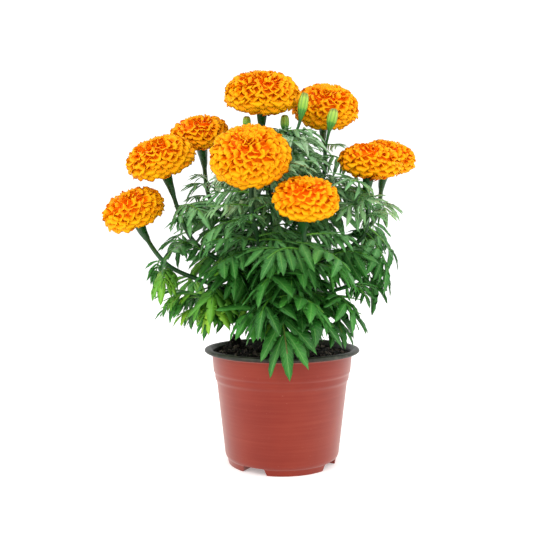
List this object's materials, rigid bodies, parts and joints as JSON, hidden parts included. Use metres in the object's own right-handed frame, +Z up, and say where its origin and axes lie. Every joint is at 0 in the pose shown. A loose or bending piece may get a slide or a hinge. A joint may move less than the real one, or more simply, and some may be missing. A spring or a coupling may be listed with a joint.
{
  "type": "potted african marigold",
  "caption": "African marigold in a two-tone plastic nursery pot: branching leafy stems with cut leaves, double orange flower heads and green buds.",
  "frame": {"origin": "centre of the pot's underside, on the surface that the pot stands on", "axes": "+Z up along the pot's axis, +X to the right seen from the front, -Y towards the front"},
  "size_m": [0.3161, 0.2483, 0.3966],
  "materials": {
    "terracotta_plastic": "satin",
    "potting_soil": "matte",
    "woody_stem": "matte",
    "leaf_green": "matte",
    "orange_petal": "matte",
    "bud_green": "matte"
  },
  "bodies": {
    "root": {"pot": "terracotta_plastic", "soil": "potting_soil", "main_stem": "woody_stem", "bloom_top_centre": "orange_petal", "bloom_top_right": "orange_petal", "bloom_back_left": "orange_petal", "bloom_left": "orange_petal", "bloom_far_left": "orange_petal", "bloom_big_centre": "orange_petal", "bloom_centre_right": "orange_petal", "bloom_right_front": "orange_petal", "bloom_right_back": "orange_petal", "leafy_stem_top_centre": "leaf_green", "bud_back": "bud_green", "bud_centre": "bud_green", "bud_tall": "bud_green", "leafy_stem_top_right": "leaf_green", "bud_right": "bud_green", "leafy_stem_back_left": "leaf_green", "leafy_stem_left": "leaf_green", "leafy_stem_far_left": "leaf_green", "leafy_stem_big_centre": "leaf_green", "leafy_stem_centre_right": "leaf_green", "leafy_stem_right_front": "leaf_green", "leafy_stem_right_back": "leaf_green", "leafy_stem_front": "leaf_green", "leafy_stem_lower_left": "leaf_green", "leafy_stem_lower_right": "leaf_green", "leafy_stem_back": "leaf_green"}
  },
  "joints": []
}
